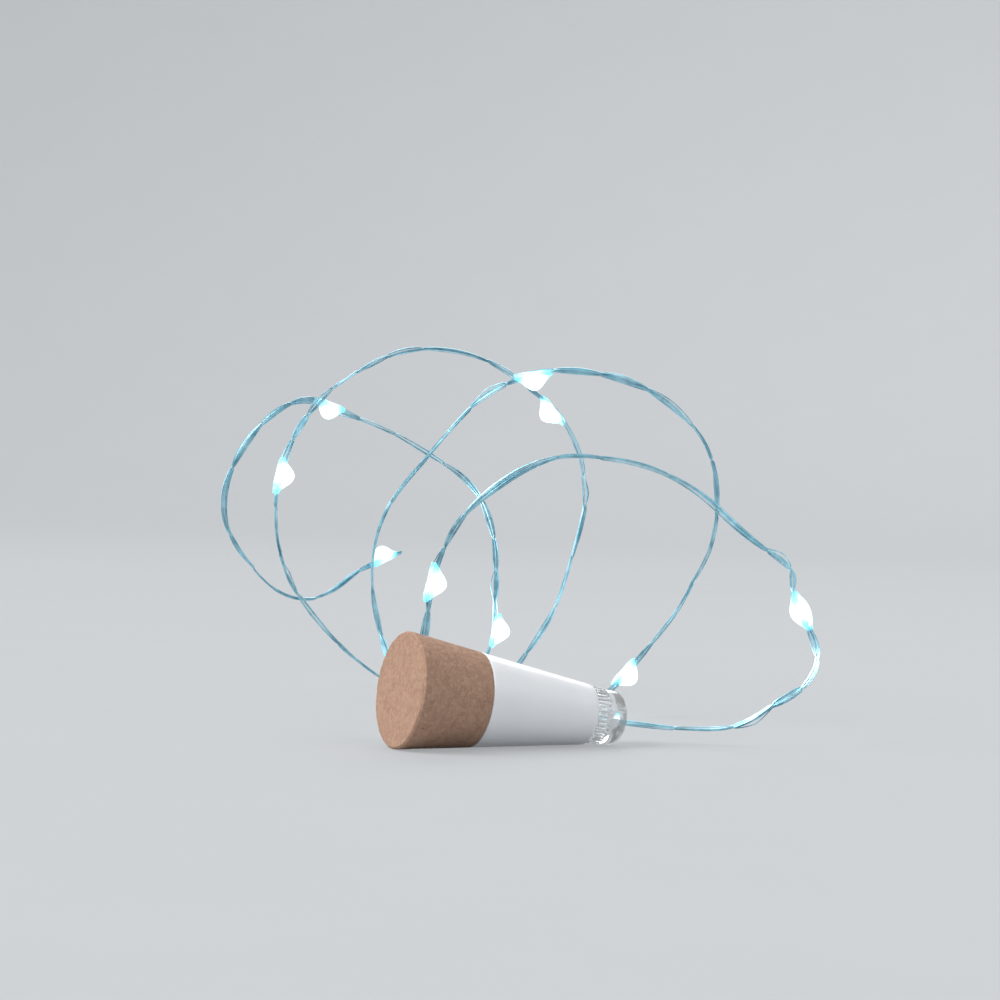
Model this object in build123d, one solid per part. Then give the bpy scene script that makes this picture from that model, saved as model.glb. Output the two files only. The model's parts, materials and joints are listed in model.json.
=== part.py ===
from build123d import *
import math
import os

os.makedirs("parts", exist_ok=True)

# A rechargeable bottle light shaped like a tapered cork stopper, with a string of ten
# small lights on a fine wire. It lies on its side, wide end towards -X, tip towards +X.
# All lengths are in millimetres. Stations are distances along the stopper's axis,
# counted from the flat wide end of the cork.

# Driving sizes of the stopper
wide_diameter = 22.0
small_diameter = 11.5
cork_length = 15.0
shell_length = 23.7
seam_gap = 0.1
cork_edge = 0.4
shell_edge = 0.15
overrun = 1.0

# Clear twist tip
rib_diameter = 10.8
rib_length = 2.8
rib_count = 36
rib_depth = 0.32
flute_width = 0.7
barrel_diameter = 10.6
barrel_length = 1.9
end_rounding = 2.5
spigot_diameter = 8.6
spigot_length = 3.05
lip_height = 0.3
lip_length = 0.7
tip_bore_diameter = 6.4
facet_count = 8
facet_end_diameter = 3.2
facet_length = 3.0
turning_clearance = 0.08

# White shell and its end plate
shell_wall = 1.3
end_wall = 2.1
plate_thickness = 1.2
plate_step = 0.9

# USB plug, a standard A plug
plug_width = 12.0
plug_height = 4.5
plug_exposed = 11.75
plug_inside = 5.0
plug_wall = 0.32
window_width = 2.2
window_length = 2.0
window_spacing = 5.6
window_setback = 5.6
tongue_thickness = 1.84
tongue_setback = 0.6
contact_count = 4
contact_pitch = 2.3
contact_width = 1.1
contact_thickness = 0.25
contact_setback = 1.3
plug_side_gap = 0.05

# Cork cap's liner
liner_wall = 0.6
liner_clearance = 0.15
liner_end_gap = 0.35
liner_flange_thickness = 0.8
liner_flange_diameter = 15.6

# Circuit board and what it carries
board_thickness = 0.8
board_wide_width = 10.4
board_narrow_width = 7.6
board_wide_length = 7.0
board_rest_gap = 0.05
board_back_gap = 0.2
chip_length = 4.9
chip_width = 3.9
chip_height = 1.3
chip_start_share = 0.31
driver_length = 2.9
driver_width = 1.6
driver_height = 1.1
driver_start_share = 0.7
passive_length = 1.6
passive_width = 0.8
passive_height = 0.7
passive_rows = 2
passive_row_pitch = 2.0
indicator_length = 1.6
indicator_width = 1.2
indicator_height = 0.9
indicator_start_share = 0.085

# Lithium cell
cell_thickness = 4.3
cell_width = 8.0
cell_corner = 1.2
cell_gap = 0.5
cell_end_gap = 0.6
pad_thickness = 0.2
pad_inset = 1.0
tab_width = 1.6
tab_thickness = 0.2
tab_spacing = 4.0
tab_overhang = 0.5

# Twist switch
switch_board_thickness = 0.8
switch_board_gap = 0.15
track_inner_diameter = 5.0
track_outer_diameter = 6.6
track_thickness = 0.12
track_sweep = 70.0
wiper_thickness = 0.2
wiper_inner_diameter = 4.6
wiper_outer_diameter = 7.8
finger_width = 1.0
contact_gap = 0.03
bush_diameter = 2.6
bush_length = 1.4

# String and its lights
string_diameter = 1.2
string_clearance = 0.1
string_drop = 0.7
straight_exit = 4.0
bead_length = 8.0
bead_diameter = 4.0
bead_offset = 1.3
led_length = 1.6
led_width = 0.8
led_height = 0.6
led_clearance = 0.05
corner_share = 0.45

# The wire's route after its straight exit, chosen on the photograph: four standing
# loops behind the stopper, each touching the table behind it. It stands 0.4 mm or
# more above the table, and 2 mm or more where a light lies there.
string_route = [
    (37.3, -3, 2.8),
    (45, -9.9, 3.6),
    (51.1, -14.6, 9.3),
    (58, -15.9, 15.4),
    (58.6, -13.4, 20.8),
    (55.3, -10.5, 28.9),
    (55.3, -9.2, 34.8),
    (47.5, -5.1, 40),
    (38.8, 2, 50),
    (27.8, 9, 54.7),
    (14.3, 15.5, 54.5),
    (2.8, 23, 45.5),
    (-2.2, 29, 36),
    (-3.5, 31.7, 27.5),
    (-3.9, 32.6, 18.5),
    (-6.7, 29, 9.5),
    (-2.7, 25, 1.5),
    (8.3, 26, 1),
    (22.8, 33, 1),
    (39.8, 43, 2.5),
    (54.4, 49.2, 13.9),
    (62.8, 44, 25.5),
    (64.3, 37, 40.5),
    (62.3, 33, 55.5),
    (53.3, 33, 65.5),
    (40.8, 37, 72),
    (29.8, 43, 72.5),
    (18.8, 49, 70),
    (8.4, 56.2, 56.9),
    (-0.5, 62.1, 42.7),
    (-2.3, 64.6, 29.5),
    (0.5, 64, 17),
    (2.3, 57.5, 6.5),
    (8.8, 52, 3.2),
    (23.3, 56.5, 4.5),
    (37.6, 65, 15),
    (48.2, 71.3, 32),
    (55.3, 78, 49.5),
    (51.8, 85, 63),
    (44.3, 92, 72),
    (32.3, 98, 78),
    (14.3, 97, 77.5),
    (-3.7, 88, 68),
    (-16.2, 79, 56.5),
    (-20.8, 74.8, 42.5),
    (-18.4, 77.7, 31.3),
    (-9.6, 84.5, 20.4),
    (3.4, 89.7, 9.5),
    (17.8, 92, 2),
    (31.8, 92, 3.5),
    (39.8, 92, 12),
    (42.8, 97.2, 24),
    (48.4, 112.2, 36),
    (47.8, 126, 49),
    (33.8, 130, 57),
    (16.3, 122, 63),
    (0.3, 116, 67.2),
    (-10.7, 119, 57.5),
    (-16.7, 121, 43.5),
    (-12.6, 120.7, 30.4),
    (-0.7, 121.8, 20.7),
    (11.6, 126.1, 20.3),
    (23.4, 131.2, 27.2),
    (33.8, 134, 31),
]

# Each light's place, as a share of the wire's length, read from the photograph. The fifth
# is hidden behind the shell and is set half way between its neighbours.
light_shares = [0.0611, 0.1683, 0.2655, 0.375, 0.476, 0.5765, 0.678, 0.7836, 0.8842, 0.9945]

# Rings of one light's resin: shares of its half length, of its offset and of its diameter
bead_ring_shares = [(-1, 0, 0.36), (-0.55, 0.6, 0.76), (0, 1, 1), (0.55, 0.6, 0.76), (1, 0, 0.36)]

# The side to which each light's resin hangs from the wire
light_sides = [
    (0.2, 1, 0),
    (1, -0.5, 0),
    (1, -0.5, -1),
    (0, 0, -1),
    (0, 0, -1),
    (-1, 0.4, -1),
    (1, -1, 0),
    (1, -0.5, 0),
    (-0.5, 0.2, -1),
    (0, 0, 1),
]

# Stations along the axis
seam = cork_length
shell_start = cork_length + seam_gap
shell_end = cork_length + shell_length
plug_start = shell_start - plug_exposed
plug_end = shell_start + plug_inside
rib_start = shell_end + seam_gap
rib_end = rib_start + rib_length
barrel_end = rib_end + barrel_length
tip_end = barrel_end + end_rounding
spigot_start = shell_end - spigot_length
plate_end = shell_start + plate_thickness
board_start = plate_end + board_back_gap
board_bottom = plug_height / 2 + board_rest_gap
board_top = board_bottom + board_thickness
wiper_start = spigot_start - wiper_thickness
finger_reach = bush_length - contact_gap - track_thickness - wiper_thickness
finger_tip = wiper_start - finger_reach
track_start = finger_tip - contact_gap - track_thickness
switch_board_start = track_start - switch_board_thickness
board_length = switch_board_start - board_start
cell_start = plug_end + contact_thickness + cell_gap
cell_end = switch_board_start - cell_end_gap - tab_overhang
cell_low = board_bottom - pad_thickness - cell_thickness

half_taper = (wide_diameter - small_diameter) / 2 / (cork_length + shell_length)


def cone_radius(station):
    """Outer radius of the stopper's single taper at a station."""
    return wide_diameter / 2 - half_taper * station


# The stopper lies on two circles: the cork's rim and the clear tip's rounded end.
rim_radius = cone_radius(cork_edge)
rounding_centre = barrel_diameter / 2 - end_rounding
rim_drop = rim_radius - rounding_centre
rim_run = barrel_end - cork_edge
lean = math.atan2(rim_drop, rim_run) - math.asin(end_rounding / math.hypot(rim_drop, rim_run))
face_height = rim_radius * math.cos(lean) + cork_edge * math.sin(lean)
rear_reach = (wide_diameter / 2 - cork_edge) * math.sin(lean)
front_reach = barrel_end * math.cos(lean) + rounding_centre * math.sin(lean) + end_rounding
face_x = (rear_reach - front_reach) / 2
stopper_frame = Plane(
    origin=(face_x, 0, face_height),
    x_dir=(math.sin(lean), 0, math.cos(lean)),
    z_dir=(math.cos(lean), 0, -math.sin(lean)),
)


def turned(*points):
    """Solid of revolution about the axis, from (radius, station) corners."""
    outline = Polyline([(radius, 0, station) for radius, station in points], close=True)
    return revolve(make_face(outline), axis=Axis.Z)


def disc(diameter, start, length):
    """Round bar on the axis."""
    return Pos(0, 0, start + length / 2) * Cylinder(diameter / 2, length)


def block(height, width, length, low, across, start):
    """Square-cornered bar: low is its underside, across its middle, start its near end."""
    middle = Pos(low + height / 2, across, start + length / 2)
    return middle * Box(height, width, length)


def bent_strip(width, across, *corners):
    """Strip bent in one plane, from (height, station) corners, of one width."""
    outline = Polyline([(height, 0, station) for height, station in corners], close=True)
    return Pos(0, across, 0) * extrude(make_face(outline), width / 2, dir=(0, 1, 0), both=True)


def keep(name, *shapes, frame=stopper_frame):
    """Write one node of one or more solids, moved from its own axes to where it lies."""
    placed = [frame.location * shape.solid() for shape in shapes]
    node = placed[0] if len(placed) == 1 else Compound(children=placed)
    export_step(node, os.path.join("parts", name + ".step"))


def inner_radius(station):
    """Radius of the hollow inside the white shell."""
    return cone_radius(station) - shell_wall


def cork_cap():
    """Natural cork cap with a pocket for the liner that holds the plug."""
    body = turned(
        (0, 0),
        (wide_diameter / 2 - cork_edge, 0),
        (rim_radius, cork_edge),
        (cone_radius(seam), seam),
        (0, seam),
    )
    pocket_start = plug_start - liner_end_gap - liner_wall
    pocket = block(
        plug_height + 2 * (liner_clearance + liner_wall),
        plug_width + 2 * (liner_clearance + liner_wall),
        seam - pocket_start + overrun,
        -plug_height / 2 - liner_clearance - liner_wall,
        0,
        pocket_start,
    )
    flange_recess = disc(
        liner_flange_diameter, seam - liner_flange_thickness, liner_flange_thickness + overrun
    )
    return body - pocket - flange_recess


def cap_liner():
    """Moulded cup in the cork that slides over the plug, with a round flange."""
    outside_height = plug_height + 2 * (liner_clearance + liner_wall)
    outside_width = plug_width + 2 * (liner_clearance + liner_wall)
    start = plug_start - liner_end_gap - liner_wall
    cup = block(outside_height, outside_width, seam - start, -outside_height / 2, 0, start)
    flange = disc(liner_flange_diameter, seam - liner_flange_thickness, liner_flange_thickness)
    hollow_height = outside_height - 2 * liner_wall
    hollow_width = outside_width - 2 * liner_wall
    hollow = block(
        hollow_height,
        hollow_width,
        seam - start - liner_wall + overrun,
        -hollow_height / 2,
        0,
        start + liner_wall,
    )
    return cup + flange - hollow


def plate_radius():
    """Outer radius of the end plate, which sits in a step inside the shell's wide end."""
    return cone_radius(shell_start) - plate_step


def body_shell():
    """White tapered shell, open at the wide end, with a bore for the twist tip."""
    bore_radius = spigot_diameter / 2 + turning_clearance
    return turned(
        (plate_radius(), shell_start),
        (cone_radius(shell_start) - shell_edge, shell_start),
        (cone_radius(shell_start + shell_edge), shell_start + shell_edge),
        (cone_radius(shell_end - shell_edge), shell_end - shell_edge),
        (cone_radius(shell_end) - shell_edge, shell_end),
        (bore_radius, shell_end),
        (bore_radius, shell_end - end_wall),
        (inner_radius(shell_end - end_wall), shell_end - end_wall),
        (inner_radius(plate_end), plate_end),
        (plate_radius(), plate_end),
    )


def end_plate():
    """White plate that closes the wide end round the plug."""
    plate = disc(2 * plate_radius(), shell_start, plate_thickness)
    slot = block(
        plug_height,
        plug_width,
        plate_thickness + 2 * overrun,
        -plug_height / 2,
        0,
        shell_start - overrun,
    )
    return plate - slot


def usb_plug_shell():
    """Folded metal shell of the plug, with two latch windows in each broad side."""
    length = plug_exposed + plug_inside
    outside = block(plug_height, plug_width, length, -plug_height / 2, 0, plug_start)
    inside_height = plug_height - 2 * plug_wall
    inside_width = plug_width - 2 * plug_wall
    inside = block(
        inside_height,
        inside_width,
        length + 2 * overrun,
        -inside_height / 2,
        0,
        plug_start - overrun,
    )
    shell = outside - inside
    for side in (-1, 1):
        shell -= block(
            plug_height + 2 * overrun,
            window_width,
            window_length,
            -plug_height / 2 - overrun,
            side * window_spacing / 2,
            plug_start + window_setback,
        )
    return shell


def tongue_low():
    """Underside of the plug's plastic tongue, on the shell's inner floor."""
    return -plug_height / 2 + plug_wall


def usb_tongue():
    """Plastic tongue that fills the lower half of the plug."""
    return block(
        tongue_thickness,
        plug_width - 2 * plug_wall - 2 * plug_side_gap,
        plug_exposed + plug_inside - tongue_setback,
        tongue_low(),
        0,
        plug_start + tongue_setback,
    )


def usb_contacts():
    """Four gold strips along the tongue, each bent up to the board behind the plug."""
    low = tongue_low() + tongue_thickness
    start = plug_start + contact_setback
    strips = []
    for index in range(contact_count):
        across = (index - (contact_count - 1) / 2) * contact_pitch
        strip = bent_strip(
            contact_width,
            across,
            (low, start),
            (low, plug_end + contact_thickness),
            (board_bottom, plug_end + contact_thickness),
            (board_bottom, plug_end),
            (low + contact_thickness, plug_end),
            (low + contact_thickness, start),
        )
        strips.append(strip)
    return strips


def circuit_board():
    """Charging and driver board, wide over the plug, that butts against the switch board."""
    wide = block(
        board_thickness, board_wide_width, board_wide_length, board_bottom, 0, board_start
    )
    narrow = block(
        board_thickness, board_narrow_width, board_length, board_bottom, 0, board_start
    )
    return wide + narrow


def along_board(share):
    """Station at a share of the circuit board's length."""
    return board_start + share * board_length


def charge_chip():
    """Charger chip on the wide end of the board."""
    start = along_board(chip_start_share)
    return block(chip_height, chip_width, chip_length, board_top, 0, start)


def driver_chip():
    """Small chip that dims and drives the string."""
    start = along_board(driver_start_share)
    return block(driver_height, driver_width, driver_length, board_top, 0, start)


def board_parts():
    """Small capacitors and resistors in two rows beside the charger chip."""
    parts = []
    for side in (-1, 1):
        for row in range(passive_rows):
            start = along_board(chip_start_share) + row * passive_row_pitch
            across = side * (chip_width / 2 + passive_width)
            parts.append(
                block(passive_height, passive_width, passive_length, board_top, across, start)
            )
    return parts


def charge_indicator():
    """Small lamp near the end plate that shows through the white shell while charging."""
    return block(
        indicator_height,
        indicator_width,
        indicator_length,
        board_top,
        0,
        along_board(indicator_start_share),
    )


def lithium_cell():
    """Pouch cell with rounded long edges that hangs from the board on its adhesive pad."""
    cell = block(cell_thickness, cell_width, cell_end - cell_start, cell_low, 0, cell_start)
    return fillet(cell.edges().filter_by(Axis.Z), cell_corner)


def cell_pad():
    """Adhesive pad between cell and board."""
    return block(
        pad_thickness,
        board_narrow_width - 2 * pad_inset,
        cell_end - cell_start - 2 * pad_inset,
        board_bottom - pad_thickness,
        0,
        cell_start + pad_inset,
    )


def cell_tabs():
    """Two nickel tabs from the cell's end up to the board."""
    end = cell_end + tab_overhang
    low = cell_low + cell_thickness / 2
    tabs = []
    for side in (-1, 1):
        tab = bent_strip(
            tab_width,
            side * tab_spacing / 2,
            (low, cell_end),
            (low, end),
            (board_bottom, end),
            (board_bottom, end - tab_thickness),
            (low + tab_thickness, end - tab_thickness),
            (low + tab_thickness, cell_end),
        )
        tabs.append(tab)
    return tabs


def switch_board():
    """Round board across the shell's small end that carries the switch tracks."""
    radius = inner_radius(track_start) - switch_board_gap
    return disc(2 * radius, switch_board_start, switch_board_thickness)


def switch_tracks():
    """Two curved contact tracks on the switch board."""
    ring = disc(track_outer_diameter, track_start, track_thickness)
    ring -= disc(track_inner_diameter, track_start - overrun, track_thickness + 2 * overrun)
    reach = track_outer_diameter
    half = math.radians(track_sweep / 2)
    wedge = make_face(
        Polyline(
            [(0, 0), (reach, -reach * math.tan(half)), (reach, reach * math.tan(half))],
            close=True,
        )
    )
    sector = Pos(0, 0, track_start - overrun) * extrude(wedge, track_thickness + 2 * overrun)
    return [Rot(0, 0, turn) * (ring & sector) for turn in (0, 180)]


def lead_bush():
    """Glued bush that holds the string's inner end on the switch board."""
    hole = disc(string_diameter, track_start - overrun, bush_length + 2 * overrun)
    bush = disc(bush_diameter, track_start, bush_length) - hole
    return Pos(-string_drop, 0, 0) * bush


def string_leads():
    """Inner end of the wire: through the bush and out of the tip, a little below its axis."""
    return Pos(-string_drop, 0, 0) * disc(string_diameter, track_start, tip_end - track_start)


def tip_wiper():
    """Spring ring under the tip with two fingers that reach the tracks."""
    ring = disc(wiper_outer_diameter, wiper_start, wiper_thickness)
    ring -= disc(wiper_inner_diameter, wiper_start - overrun, wiper_thickness + 2 * overrun)
    middle = (track_inner_diameter + track_outer_diameter) / 4
    for side in (-1, 1):
        ring += block(
            finger_width,
            finger_width,
            finger_reach,
            side * middle - finger_width / 2,
            0,
            finger_tip,
        )
    return ring


def clear_tip():
    """Clear moulded tip: spigot with a snap lip, a fluted grip and a rounded barrel."""
    spigot_radius = spigot_diameter / 2
    core_radius = rib_diameter / 2 - rib_depth
    spigot = turned(
        (0, spigot_start),
        (spigot_radius + lip_height, spigot_start),
        (spigot_radius + lip_height, spigot_start + lip_length),
        (spigot_radius, spigot_start + lip_length),
        (spigot_radius, rib_start),
        (core_radius, rib_start),
        (core_radius, rib_end),
        (0, rib_end),
    )
    flute_radius = flute_width / 2
    flute_centre = rib_diameter / 2 - rib_depth + flute_radius
    grip = Circle(rib_diameter / 2)
    for index in range(rib_count):
        turn = (index + 1 / 2) * 360 / rib_count
        grip -= Rot(0, 0, turn) * Pos(flute_centre, 0) * Circle(flute_radius)
    ribs = Pos(0, 0, rib_start) * extrude(grip, rib_length)
    barrel = disc(barrel_diameter, rib_end, tip_end - rib_end)
    end_circle = barrel.edges().filter_by(GeomType.CIRCLE).sort_by(Axis.Z)[-1]
    solid = spigot + ribs + fillet(end_circle, end_rounding)
    bore = disc(tip_bore_diameter, spigot_start - overrun, rib_end - spigot_start + overrun)
    near = Pos(0, 0, rib_end) * RegularPolygon(tip_bore_diameter / 2, facet_count)
    far = Pos(0, 0, rib_end + facet_length) * RegularPolygon(facet_end_diameter / 2, facet_count)
    star = loft([near.face(), far.face()])
    hole_diameter = string_diameter + 2 * (string_drop + string_clearance)
    hole = disc(hole_diameter, rib_end, tip_end - rib_end + overrun)
    return solid - bore - star - hole


def string_path():
    """Centreline of the free wire: straight runs joined by tangent arcs."""
    start = stopper_frame.from_local_coords(Vector(-string_drop, 0, tip_end))
    second = stopper_frame.from_local_coords(Vector(-string_drop, 0, tip_end + straight_exit))
    points = [start, second] + [Vector(point) for point in string_route]
    radii = []
    for before, corner, after in zip(points, points[1:], points[2:]):
        half_turn = math.radians((corner - before).get_angle(after - corner)) / 2
        shorter = min((corner - before).length, (after - corner).length)
        radii.append(corner_share * shorter / math.tan(half_turn))
    print("wire corner radii", [round(radius, 1) for radius in radii])
    return FilletPolyline(points, radius=radii)


def string_wire(path):
    """The free wire, a round bundle of fine strands."""
    section = Plane(origin=path @ 0, z_dir=path % 0) * Circle(string_diameter / 2)
    wire = sweep(section, path=path)
    share = wire.volume / (math.pi * string_diameter**2 / 4 * path.length)
    print("wire length", round(path.length, 1), "volume over section times length", share)
    return wire


def light_place(path, share, side):
    """Frame of one light: z along the wire, x to the side on which the resin hangs."""
    station = share * path.length
    where = path.location_at(station, position_mode=PositionMode.LENGTH)
    along = path.tangent_at(station, position_mode=PositionMode.LENGTH)
    square = side - along * side.dot(along)
    return Plane(origin=where.position, x_dir=square, z_dir=along)


def led_chip():
    """Tiny surface-mount lamp beside the strands."""
    low = string_diameter / 2 + led_clearance
    return block(led_height, led_width, led_length, low, 0, -led_length / 2)


def led_bead():
    """Resin droplet cast round one lamp and the wire, which runs through it."""
    rings = []
    for along, sideways, width in bead_ring_shares:
        middle = Pos(sideways * bead_offset, 0, along * bead_length / 2)
        rings.append(middle * Circle(width * bead_diameter / 2))
    drop = loft([ring.face() for ring in rings])
    return drop - led_chip()


keep("cork_cap", cork_cap())
keep("cap_liner", cap_liner())
keep("body_shell", body_shell())
keep("end_plate", end_plate())
keep("usb_plug_shell", usb_plug_shell())
keep("usb_tongue", usb_tongue())
keep("usb_contacts", *usb_contacts())
keep("circuit_board", circuit_board())
keep("charge_chip", charge_chip())
keep("driver_chip", driver_chip())
keep("board_parts", *board_parts())
keep("charge_indicator", charge_indicator())
keep("lithium_cell", lithium_cell())
keep("cell_pad", cell_pad())
keep("cell_tabs", *cell_tabs())
keep("switch_board", switch_board())
keep("switch_tracks", *switch_tracks())
keep("lead_bush", lead_bush())
keep("string_leads", string_leads())
keep("clear_tip", clear_tip())
keep("tip_wiper", tip_wiper())

route = string_path()
keep("string_wire", string_wire(route), frame=Plane.XY)
for light, (share, side) in enumerate(zip(light_shares, light_sides), start=1):
    place = light_place(route, share, Vector(side))
    keep("led_chip_%02d" % light, led_chip(), frame=place)
    keep("led_bead_%02d" % light, led_bead(), frame=place)
    print("light", light, "at", [round(value, 1) for value in place.origin])

print("lean", round(math.degrees(lean), 3), "wide face centre", round(face_x, 4), round(face_height, 4))
print("tip end", stopper_frame.from_local_coords(Vector(0, 0, tip_end)))
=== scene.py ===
import json
import math
import random

import bmesh
import bpy
from mathutils import Matrix, Vector, noise


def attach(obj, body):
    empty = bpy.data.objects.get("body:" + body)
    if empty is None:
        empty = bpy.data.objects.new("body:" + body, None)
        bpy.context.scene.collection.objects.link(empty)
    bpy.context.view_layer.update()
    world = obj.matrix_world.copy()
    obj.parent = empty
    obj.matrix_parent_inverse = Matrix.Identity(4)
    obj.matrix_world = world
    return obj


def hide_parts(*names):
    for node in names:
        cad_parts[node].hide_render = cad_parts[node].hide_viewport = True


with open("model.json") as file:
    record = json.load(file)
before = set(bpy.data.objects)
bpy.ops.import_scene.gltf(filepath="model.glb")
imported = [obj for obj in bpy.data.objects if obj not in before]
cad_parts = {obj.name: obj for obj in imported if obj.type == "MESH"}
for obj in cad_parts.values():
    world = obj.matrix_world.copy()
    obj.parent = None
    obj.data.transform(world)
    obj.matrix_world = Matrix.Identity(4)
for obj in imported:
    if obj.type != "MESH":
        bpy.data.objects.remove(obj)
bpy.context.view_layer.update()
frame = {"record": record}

# The stopper lies on its side on the table. Its flat cork end and its axis are read from
# the mount on that end, and stations are distances along the axis from there, in metres.
cork_top = next(mount for mount in frame["record"]["mounts"] if mount["name"] == "cork_top")
axis = -Vector(cork_top["axis"])
up = Vector((-axis.z, 0, axis.x))
stopper = Matrix((up, axis.cross(up), axis)).transposed().to_4x4()
stopper.translation = cork_top["pos_m"]
full_turn = 2 * math.pi


# The cork cap is fine-grained pressed cork, turned to the stopper's one taper with a narrow
# broken edge. A round recess and a flat pocket in its hidden end take the glued liner.
wide_radius = 0.011
small_radius = 0.00575
cork_length = 0.015
shell_length = 0.0237
seam_gap = 0.0001
cork_edge = 0.0004
recess_radius = 0.0078
recess_depth = 0.0008
pocket_height = 0.006
pocket_width = 0.0135
pocket_start = 0.0024
cork_step = 0.0003
cork_sides = 230
merge_reach = 1e-7
granule_size = 0.0008
joint_share = 0.25
joint_depth = 0.000012
granule_rise = 0.00001
pit_depth = 0.00008
pit_share = 0.02
pit_stretch = 7.3
rim_chip_depth = 0.00005
rim_reach = 0.0007
seam_rim_reach = rim_reach / 3
wall_slack = cork_step / 9
not_zero = 1e-9


def taper_radius(station):
    """Outer radius of the stopper's one taper at a station."""
    return wide_radius - (wide_radius - small_radius) * station / (cork_length + shell_length)


def turned(corners, count, step=0.0, closed=False):
    """A bmesh turned about the axis from (radius, station) corners, finer than the step."""
    shape = bmesh.new()
    points = [shape.verts.new((radius, 0, station)) for radius, station in corners]
    edges = [shape.edges.new(pair) for pair in zip(points, points[1:])]
    if closed:
        edges.append(shape.edges.new((points[-1], points[0])))
    for edge in edges:
        cuts = int(edge.calc_length() / step) if step else 0
        if cuts:
            bmesh.ops.subdivide_edges(shape, edges=[edge], cuts=cuts)
    bmesh.ops.spin(
        shape,
        geom=list(shape.verts) + list(shape.edges),
        axis=(0, 0, 1),
        angle=full_turn,
        steps=count,
        use_merge=True,
    )
    bmesh.ops.remove_doubles(shape, verts=shape.verts, dist=merge_reach)
    bmesh.ops.recalc_face_normals(shape, faces=shape.faces)
    return shape


def meshed(shape, place=stopper):
    """The mesh of a bmesh, moved to its place, with its faces turned outwards."""
    bmesh.ops.transform(shape, matrix=place, verts=shape.verts)
    bmesh.ops.recalc_face_normals(shape, faces=shape.faces)
    mesh = bpy.data.meshes.new("piece")
    shape.to_mesh(mesh)
    shape.free()
    return mesh


def shown(name, mesh, finish, body, stands_for, crease=35):
    """Shows a finished mesh as a piece that rides on a body and stands for CAD nodes."""
    mesh.name = name
    mesh.shade_smooth()
    mesh.set_sharp_from_angle(angle=math.radians(crease))
    mesh.materials.append(finish)
    piece = bpy.data.objects.new(name, mesh)
    bpy.context.scene.collection.objects.link(piece)
    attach(piece, body)
    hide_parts(*stands_for)
    return piece


class Mark:
    """A socket in a finish's nodes. Sums on it, in plain Python, add their Math nodes."""

    def __init__(self, tree, socket):
        self.tree = tree
        self.socket = socket

    def node(self, kind, settings, inputs, output=0):
        """Adds a node of a kind, sets it, feeds it, and gives one of its outputs."""
        made = self.tree.nodes.new(kind)
        for name, value in settings.items():
            if name == "stops":
                self.colour_stops(made.color_ramp.elements, value)
            else:
                setattr(made, name, value)
        for name, value in inputs.items():
            self.feed(made.inputs[name], value)
        return Mark(self.tree, made.outputs[output])

    def feed(self, socket, value):
        """Feeds a socket from another socket, or sets it to a plain value."""
        if isinstance(value, Mark):
            self.tree.links.new(value.socket, socket)
        else:
            socket.default_value = value

    def colour_stops(self, stops, wanted):
        """Sets the stops of a colour ramp to the wanted places and colours."""
        while len(stops) < len(wanted):
            stops.new(1)
        for stop, (place, colour) in zip(stops, wanted):
            stop.position = place
            stop.color = (*colour, 1)

    def maths(self, operation, *values):
        """Adds a Math node that works on sockets and plain numbers."""
        return self.node("ShaderNodeMath", {"operation": operation}, dict(enumerate(values)))

    def __add__(self, other):
        return self.maths("ADD", self, other)

    __radd__ = __add__

    def __mul__(self, other):
        return self.maths("MULTIPLY", self, other)

    __rmul__ = __mul__

    def __sub__(self, other):
        return self.maths("SUBTRACT", self, other)

    def __rsub__(self, other):
        return self.maths("SUBTRACT", other, self)


def new_finish(name, **constants):
    """A new material, with the given constants set on its shader, and its place socket."""
    material = bpy.data.materials.new(name)
    material.use_nodes = True
    tree = material.node_tree
    shader = tree.nodes["Principled BSDF"]
    for key, value in constants.items():
        shader.inputs[key.replace("_", " ")].default_value = value
    coordinates = tree.nodes.new("ShaderNodeTexCoord")
    return material, shader, Mark(tree, coordinates.outputs["Object"])


def speckle(place, size, detail=3):
    """A soft noise of patches about as wide as the size, from 0 to 1."""
    return place.node(
        "ShaderNodeTexNoise",
        {},
        {"Vector": place, "Scale": 1 / size, "Detail": detail, "Roughness": 0.6},
        "Fac",
    )


def cell_tone(place, size):
    """Uneven cells about as wide as the size, each with a tone of its own from 0 to 1."""
    inputs = {"Vector": place, "Scale": 1 / size}
    colour = place.node("ShaderNodeTexVoronoi", {"feature": "F1"}, inputs, "Color")
    return colour.node("ShaderNodeSeparateColor", {}, {"Color": colour})


def cell_edge(place, size):
    """The distance to the edge of such cells, as a share of their size."""
    inputs = {"Vector": place, "Scale": 1 / size}
    return place.node("ShaderNodeTexVoronoi", {"feature": "DISTANCE_TO_EDGE"}, inputs)


def ranged(value, low, high):
    """Where a value lies between a low and a high, from 0 to 1."""
    return value.node("ShaderNodeMapRange", {}, {"Value": value, "From Min": low, "From Max": high})


def colours(value, *stops):
    """A colour that follows a value through stops of (value, colour)."""
    return value.node("ShaderNodeValToRGB", {"stops": stops}, {"Fac": value})


def mixed(mode, share, under, over):
    """Two colours laid over each other in one of the Mix node's modes."""
    return under.node(
        "ShaderNodeMix", {"data_type": "RGBA", "blend_type": mode}, {0: share, 6: under, 7: over}, 2
    )


def relief(height, depth):
    """A bump of the given depth where the height goes from 0 to 1."""
    inputs = {"Height": height, "Distance": depth, "Strength": 1.0}
    return height.node("ShaderNodeBump", {}, inputs)


def cork_dent(point):
    """How far the cork lies under its skin at a point: joints, uneven granules and pits."""
    distances, centres = noise.voronoi(point / granule_size)
    joint = 1 - min(1, (distances[1] - distances[0]) / joint_share)
    # The stretch draws the pits apart from how high each granule stands.
    pit = pit_depth if noise.cell(centres[0] * pit_stretch) < pit_share else 0
    return joint_depth * joint + granule_rise * noise.cell(centres[0]) + pit * (1 - joint)


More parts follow.
